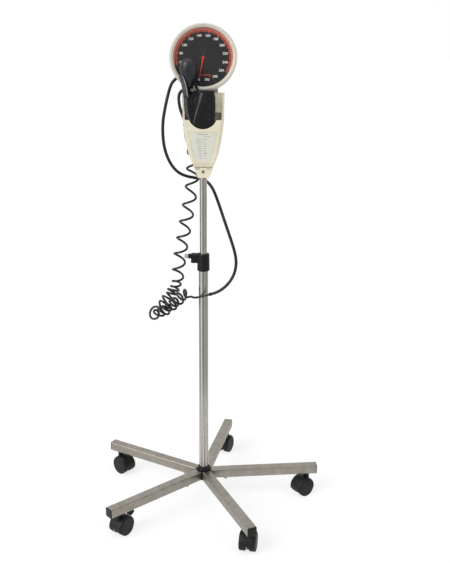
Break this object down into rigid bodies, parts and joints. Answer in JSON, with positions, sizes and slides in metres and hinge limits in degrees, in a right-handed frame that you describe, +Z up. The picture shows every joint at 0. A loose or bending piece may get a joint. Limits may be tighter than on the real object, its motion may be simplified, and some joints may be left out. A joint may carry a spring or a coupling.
{
  "type": "aneroid sphygmomanometer on rolling stand",
  "caption": "Large dial blood pressure gauge with cuff pocket, bulb and coiled tubing on a height-adjustable pole with a rolling star base.",
  "frame": {"origin": "on the floor under the pole axis", "axes": "+Z up along the pole, the dial faces -Y, +X to the right of someone who reads the dial"},
  "size_m": [0.6096, 0.6198, 1.2956],
  "materials": {
    "black_plastic": "moulded black",
    "nickel_steel": "dull nickel plate",
    "bright_steel": "bright zinc plate",
    "chrome_tube": "chrome plate with a fine brushed look",
    "bush_plastic": "black nylon",
    "cream_plastic": "cream, smooth with a soft gloss",
    "gauge_grey": "pale warm grey enamel",
    "clear_window": "clear",
    "dial_black": "matt black print",
    "brass": "satin",
    "pointer_orange": "orange enamel",
    "bulb_rubber": "smooth black rubber",
    "tube_rubber": "smooth black rubber",
    "coil_plastic": "glossy black elastomer",
    "cuff_nylon": "woven black nylon",
    "wheel_plastic": "hard black wheel"
  },
  "bodies": {
    "base": {"base_hub": "black_plastic", "base_arm_1": "nickel_steel", "base_arm_2": "nickel_steel", "base_arm_3": "nickel_steel", "base_arm_4": "nickel_steel", "base_arm_5": "nickel_steel", "arm_end_caps": "black_plastic", "base_bolts": "bright_steel", "foot_collar": "black_plastic", "lower_tube": "chrome_tube", "height_collar": "black_plastic", "caster_stems": "bright_steel"},
    "collar_knob": {"collar_knob": "black_plastic"},
    "guide_bush": {"guide_bush": "bush_plastic"},
    "mast": {"upper_tube": "chrome_tube", "holder_back": "cream_plastic", "pocket_front": "cream_plastic", "holder_screws": "bright_steel", "gauge_bracket": "gauge_grey", "gauge_housing": "gauge_grey", "gauge_bezel": "gauge_grey", "gauge_lens": "clear_window", "gauge_dial": "dial_black", "movement_frame": "brass", "pressure_capsule": "brass", "gauge_port": "bright_steel", "inflation_bulb": "bulb_rubber", "bulb_valve": "bright_steel", "cuff": "cuff_nylon", "cuff_tube": "tube_rubber", "gauge_tube": "tube_rubber", "tube_connectors": "black_plastic", "coiled_tube": "coil_plastic"},
    "pointer": {"pointer_pinion": "brass", "pointer": "pointer_orange"},
    "sector_gear": {"sector_gear": "brass"},
    "valve_screw": {"valve_screw": "bright_steel"},
    "caster_1": {"caster_housing_1": "black_plastic"},
    "wheel_left_1": {"caster_wheel_left_1": "wheel_plastic"},
    "wheel_right_1": {"caster_wheel_right_1": "wheel_plastic"},
    "caster_2": {"caster_housing_2": "black_plastic"},
    "wheel_left_2": {"caster_wheel_left_2": "wheel_plastic"},
    "wheel_right_2": {"caster_wheel_right_2": "wheel_plastic"},
    "caster_3": {"caster_housing_3": "black_plastic"},
    "wheel_left_3": {"caster_wheel_left_3": "wheel_plastic"},
    "wheel_right_3": {"caster_wheel_right_3": "wheel_plastic"},
    "caster_4": {"caster_housing_4": "black_plastic"},
    "wheel_left_4": {"caster_wheel_left_4": "wheel_plastic"},
    "wheel_right_4": {"caster_wheel_right_4": "wheel_plastic"},
    "caster_5": {"caster_housing_5": "black_plastic"},
    "wheel_left_5": {"caster_wheel_left_5": "wheel_plastic"},
    "wheel_right_5": {"caster_wheel_right_5": "wheel_plastic"},
    "brake_lever": {"brake_lever": "black_plastic"}
  },
  "joints": [
    {"name": "mast_turn", "type": "hinge", "parent": "base", "child": "guide_bush", "pos_m": [0, 0, 0.678], "axis": [0, 0, 1], "range_deg": [-90, 0]},
    {"name": "mast_slide", "type": "slide", "parent": "guide_bush", "child": "mast", "axis": [0, 0, 1], "range_m": [-0.19, 0.07]},
    {"name": "knob_turn", "type": "hinge", "parent": "base", "child": "collar_knob", "pos_m": [-0.033, 0, 0.711], "axis": [-1, 0, 0], "range_deg": [0, 360]},
    {"name": "pointer_sweep", "type": "hinge", "parent": "mast", "child": "pointer", "pos_m": [0, 0.015, 1.214], "axis": [0, 0.9563, -0.2924], "range_deg": [0, 340], "stiffness_Nm_per_rad": 0.0002},
    {"name": "sector_swing", "type": "hinge", "parent": "mast", "child": "sector_gear", "pos_m": [-0.022, 0.015, 1.214], "axis": [0, 0.9563, -0.2924], "range_deg": [-34.2, 0.2]},
    {"name": "valve_turn", "type": "hinge", "parent": "mast", "child": "valve_screw", "pos_m": [-0.035, -0.028, 1.139], "axis": [0.8, -0.6, 0], "range_deg": [0, 360]},
    {"name": "caster_swivel_1", "type": "hinge", "parent": "base", "child": "caster_1", "pos_m": [0.29338, 0.03084, 0.056], "axis": [0, 0, 1], "continuous": true},
    {"name": "wheel_spin_left_1", "type": "hinge", "parent": "caster_1", "child": "wheel_left_1", "pos_m": [0.28206, 0.02261, 0.025], "axis": [-0.5878, 0.809, 0], "continuous": true},
    {"name": "wheel_spin_right_1", "type": "hinge", "parent": "caster_1", "child": "wheel_right_1", "pos_m": [0.28206, 0.02261, 0.025], "axis": [-0.5878, 0.809, 0], "continuous": true},
    {"name": "caster_swivel_2", "type": "hinge", "parent": "base", "child": "caster_2", "pos_m": [0.06133, 0.28855, 0.056], "axis": [0, 0, 1], "continuous": true},
    {"name": "wheel_spin_left_2", "type": "hinge", "parent": "caster_2", "child": "wheel_left_2", "pos_m": [0.05542, 0.27587, 0.025], "axis": [-0.9063, 0.4226, 0], "continuous": true},
    {"name": "wheel_spin_right_2", "type": "hinge", "parent": "caster_2", "child": "wheel_right_2", "pos_m": [0.05542, 0.27587, 0.025], "axis": [-0.9063, 0.4226, 0], "continuous": true},
    {"name": "caster_swivel_3", "type": "hinge", "parent": "base", "child": "caster_3", "pos_m": [-0.25548, 0.1475, 0.056], "axis": [0, 0, 1], "continuous": true},
    {"name": "wheel_spin_left_3", "type": "hinge", "parent": "caster_3", "child": "wheel_left_3", "pos_m": [-0.24491, 0.13831, 0.025], "axis": [-0.6561, -0.7547, 0], "continuous": true},
    {"name": "wheel_spin_right_3", "type": "hinge", "parent": "caster_3", "child": "wheel_right_3", "pos_m": [-0.24491, 0.13831, 0.025], "axis": [-0.6561, -0.7547, 0], "continuous": true},
    {"name": "caster_swivel_4", "type": "hinge", "parent": "base", "child": "caster_4", "pos_m": [-0.21923, -0.19739, 0.056], "axis": [0, 0, 1], "continuous": true},
    {"name": "wheel_spin_left_4", "type": "hinge", "parent": "caster_4", "child": "wheel_left_4", "pos_m": [-0.2112, -0.18593, 0.025], "axis": [0.8192, -0.5736, 0], "continuous": true},
    {"name": "wheel_spin_right_4", "type": "hinge", "parent": "caster_4", "child": "wheel_right_4", "pos_m": [-0.2112, -0.18593, 0.025], "axis": [0.8192, -0.5736, 0], "continuous": true},
    {"name": "caster_swivel_5", "type": "hinge", "parent": "base", "child": "caster_5", "pos_m": [0.11999, -0.2695, 0.056], "axis": [0, 0, 1], "continuous": true},
    {"name": "wheel_spin_left_5", "type": "hinge", "parent": "caster_5", "child": "wheel_left_5", "pos_m": [0.12242, -0.25571, 0.025], "axis": [0.9848, -0.1736, 0], "continuous": true},
    {"name": "wheel_spin_right_5", "type": "hinge", "parent": "caster_5", "child": "wheel_right_5", "pos_m": [0.12242, -0.25571, 0.025], "axis": [0.9848, -0.1736, 0], "continuous": true},
    {"name": "brake_tilt", "type": "hinge", "parent": "caster_4", "child": "brake_lever", "pos_m": [-0.19342, -0.16053, 0.041], "axis": [0.8192, -0.5736, 0], "range_deg": [-14, 0]}
  ],
  "couplings": [
    {"joint": "sector_swing", "follows": "pointer_sweep", "ratio": -0.1}
  ]
}
